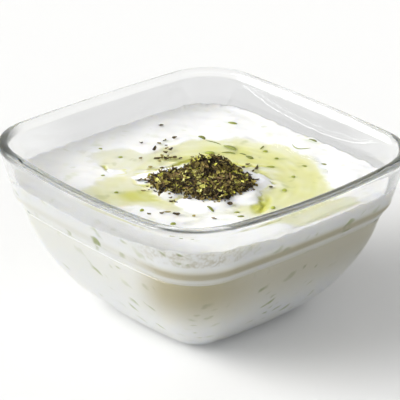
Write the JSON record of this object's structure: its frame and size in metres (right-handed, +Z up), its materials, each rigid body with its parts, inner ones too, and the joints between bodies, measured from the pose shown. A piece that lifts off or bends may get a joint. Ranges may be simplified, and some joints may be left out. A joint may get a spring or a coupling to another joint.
{
  "type": "dip in a square glass bowl",
  "caption": "Square pressed-glass bowl with an overhanging collar, filled with white cucumber and yoghurt dip under oil and a heap of dried herbs.",
  "frame": {"origin": "middle of the bowl's flat underside", "axes": "+Z up; the bowl's sides lie along X and Y"},
  "size_m": [0.12, 0.12, 0.065],
  "materials": {
    "pressed_glass": "clear, fire-polished, very faintly green at the edges",
    "dip": "moist, thick and creamy, softly glossy",
    "dried_herbs": "dry crumbled leaf, dull",
    "fresh_herbs": "moist green shreds",
    "olive_oil": "clear yellow-green oil, wet gloss"
  },
  "bodies": {
    "root": {"glass_dish": "pressed_glass", "tzatziki": "dip", "herb_heap": "dried_herbs"}
  },
  "joints": []
}
